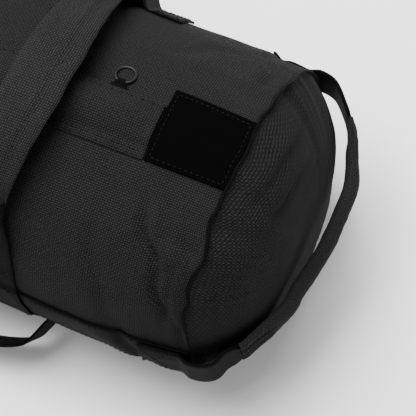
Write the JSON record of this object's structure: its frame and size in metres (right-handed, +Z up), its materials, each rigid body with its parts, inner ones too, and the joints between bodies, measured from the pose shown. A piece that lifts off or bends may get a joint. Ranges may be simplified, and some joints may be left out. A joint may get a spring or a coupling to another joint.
{
  "type": "training sandbag",
  "caption": "Filled cylindrical training sandbag with zip, storm flap, padded top, side and end webbing handles, and removable filler pouches.",
  "frame": {"origin": "bottom centre of the bag, on the surface that its pressed flat underside lies on", "axes": "+X along the bag towards the end whose zip slider is closed, +Z up through the zip"},
  "size_m": [0.69, 0.33, 0.2752],
  "materials": {
    "shell_canvas": "coarse dark grey woven nylon canvas",
    "handle_canvas": "coarse dark grey canvas sewn round a pad",
    "black_webbing": "black ribbed nylon webbing",
    "patch_cloth": "dull black napped reinforcing cloth",
    "zip_tape_cloth": "black woven zip tape",
    "zip_nylon": "black nylon coil",
    "blackened_metal": "black painted metal",
    "foam": "grey closed-cell foam",
    "filler_cloth": "plain dark ripstop pouch cloth",
    "hook_tape": "black hook and loop tape"
  },
  "bodies": {
    "bag": {"body_shell": "shell_canvas", "end_panel_left": "shell_canvas", "end_panel_right": "shell_canvas", "end_patch_left": "patch_cloth", "end_patch_right": "patch_cloth", "filler_bag_1": "filler_cloth", "filler_bag_2": "filler_cloth", "filler_bag_3": "filler_cloth", "filler_bag_4": "filler_cloth", "filler_closure_1": "hook_tape", "filler_closure_2": "hook_tape", "filler_closure_3": "hook_tape", "filler_closure_4": "hook_tape", "girth_strap_left": "black_webbing", "girth_strap_right": "black_webbing", "level_strap_back": "black_webbing", "level_strap_front": "black_webbing", "seam_binding_left": "black_webbing", "seam_binding_right": "black_webbing", "side_handle_anchor_back": "black_webbing", "side_handle_anchor_front": "black_webbing", "storm_flap_hem": "shell_canvas", "top_handle_anchor_left": "black_webbing", "top_handle_anchor_right": "black_webbing", "zip_coil": "zip_nylon", "zip_stops": "zip_nylon", "zip_tape_back": "zip_tape_cloth", "zip_tape_front": "zip_tape_cloth"},
    "end_handle_left": {"end_handle_foam_left": "foam", "end_handle_sleeve_left": "handle_canvas", "end_handle_webbing_left": "black_webbing"},
    "end_handle_right": {"end_handle_foam_right": "foam", "end_handle_sleeve_right": "handle_canvas", "end_handle_webbing_right": "black_webbing"},
    "side_handle_back": {"side_handle_pad_back": "foam", "side_handle_sleeve_back": "handle_canvas", "side_handle_webbing_back": "black_webbing"},
    "side_handle_front": {"side_handle_pad_front": "foam", "side_handle_sleeve_front": "handle_canvas", "side_handle_webbing_front": "black_webbing"},
    "flap": {"storm_flap": "shell_canvas", "storm_flap_edge": "shell_canvas"},
    "top_handle_left": {"top_handle_pad_left": "foam", "top_handle_sleeve_left": "handle_canvas", "top_handle_webbing_left": "black_webbing"},
    "top_handle_right": {"top_handle_pad_right": "foam", "top_handle_sleeve_right": "handle_canvas", "top_handle_webbing_right": "black_webbing"},
    "pull_ring": {"zip_pull_ring": "blackened_metal"},
    "zip_pull": {"zip_pull_tab": "black_webbing", "zip_slider": "blackened_metal"}
  },
  "joints": [
    {"name": "top_handle_lean_right", "type": "hinge", "parent": "bag", "child": "top_handle_right", "pos_m": [0.125, 0, 0.22163], "axis": [0, 1, 0], "range_deg": [-12, 12], "stiffness_Nm_per_rad": 1},
    {"name": "end_handle_lift_right", "type": "hinge", "parent": "bag", "child": "end_handle_right", "pos_m": [0.28, 0, 0.1175], "axis": [0, 1, 0], "range_deg": [-20, 20], "stiffness_Nm_per_rad": 1.5},
    {"name": "top_handle_lean_left", "type": "hinge", "parent": "bag", "child": "top_handle_left", "pos_m": [-0.125, 0, 0.22163], "axis": [0, 1, 0], "range_deg": [-12, 12], "stiffness_Nm_per_rad": 1},
    {"name": "end_handle_lift_left", "type": "hinge", "parent": "bag", "child": "end_handle_left", "pos_m": [-0.28, 0, 0.1175], "axis": [0, 1, 0], "range_deg": [-20, 20], "stiffness_Nm_per_rad": 1.5},
    {"name": "side_handle_fold_back", "type": "hinge", "parent": "bag", "child": "side_handle_back", "pos_m": [0, 0.11518, 0.184], "axis": [1, 0, 0], "range_deg": [-45, 45], "stiffness_Nm_per_rad": 1},
    {"name": "side_handle_fold_front", "type": "hinge", "parent": "bag", "child": "side_handle_front", "pos_m": [0, -0.11518, 0.051], "axis": [1, 0, 0], "range_deg": [-45, 45], "stiffness_Nm_per_rad": 1},
    {"name": "zip_slide", "type": "slide", "parent": "bag", "child": "zip_pull", "axis": [1, 0, 0], "range_m": [-0.348, 0]},
    {"name": "pull_ring_swing", "type": "hinge", "parent": "zip_pull", "child": "pull_ring", "pos_m": [0.174, 0.02, 0.24804], "axis": [1, 0, 0], "range_deg": [0, 80]},
    {"name": "flap_lift", "type": "hinge", "parent": "bag", "child": "flap", "pos_m": [0, -0.02, 0.24624], "axis": [1, 0, 0], "range_deg": [0, 5]}
  ]
}
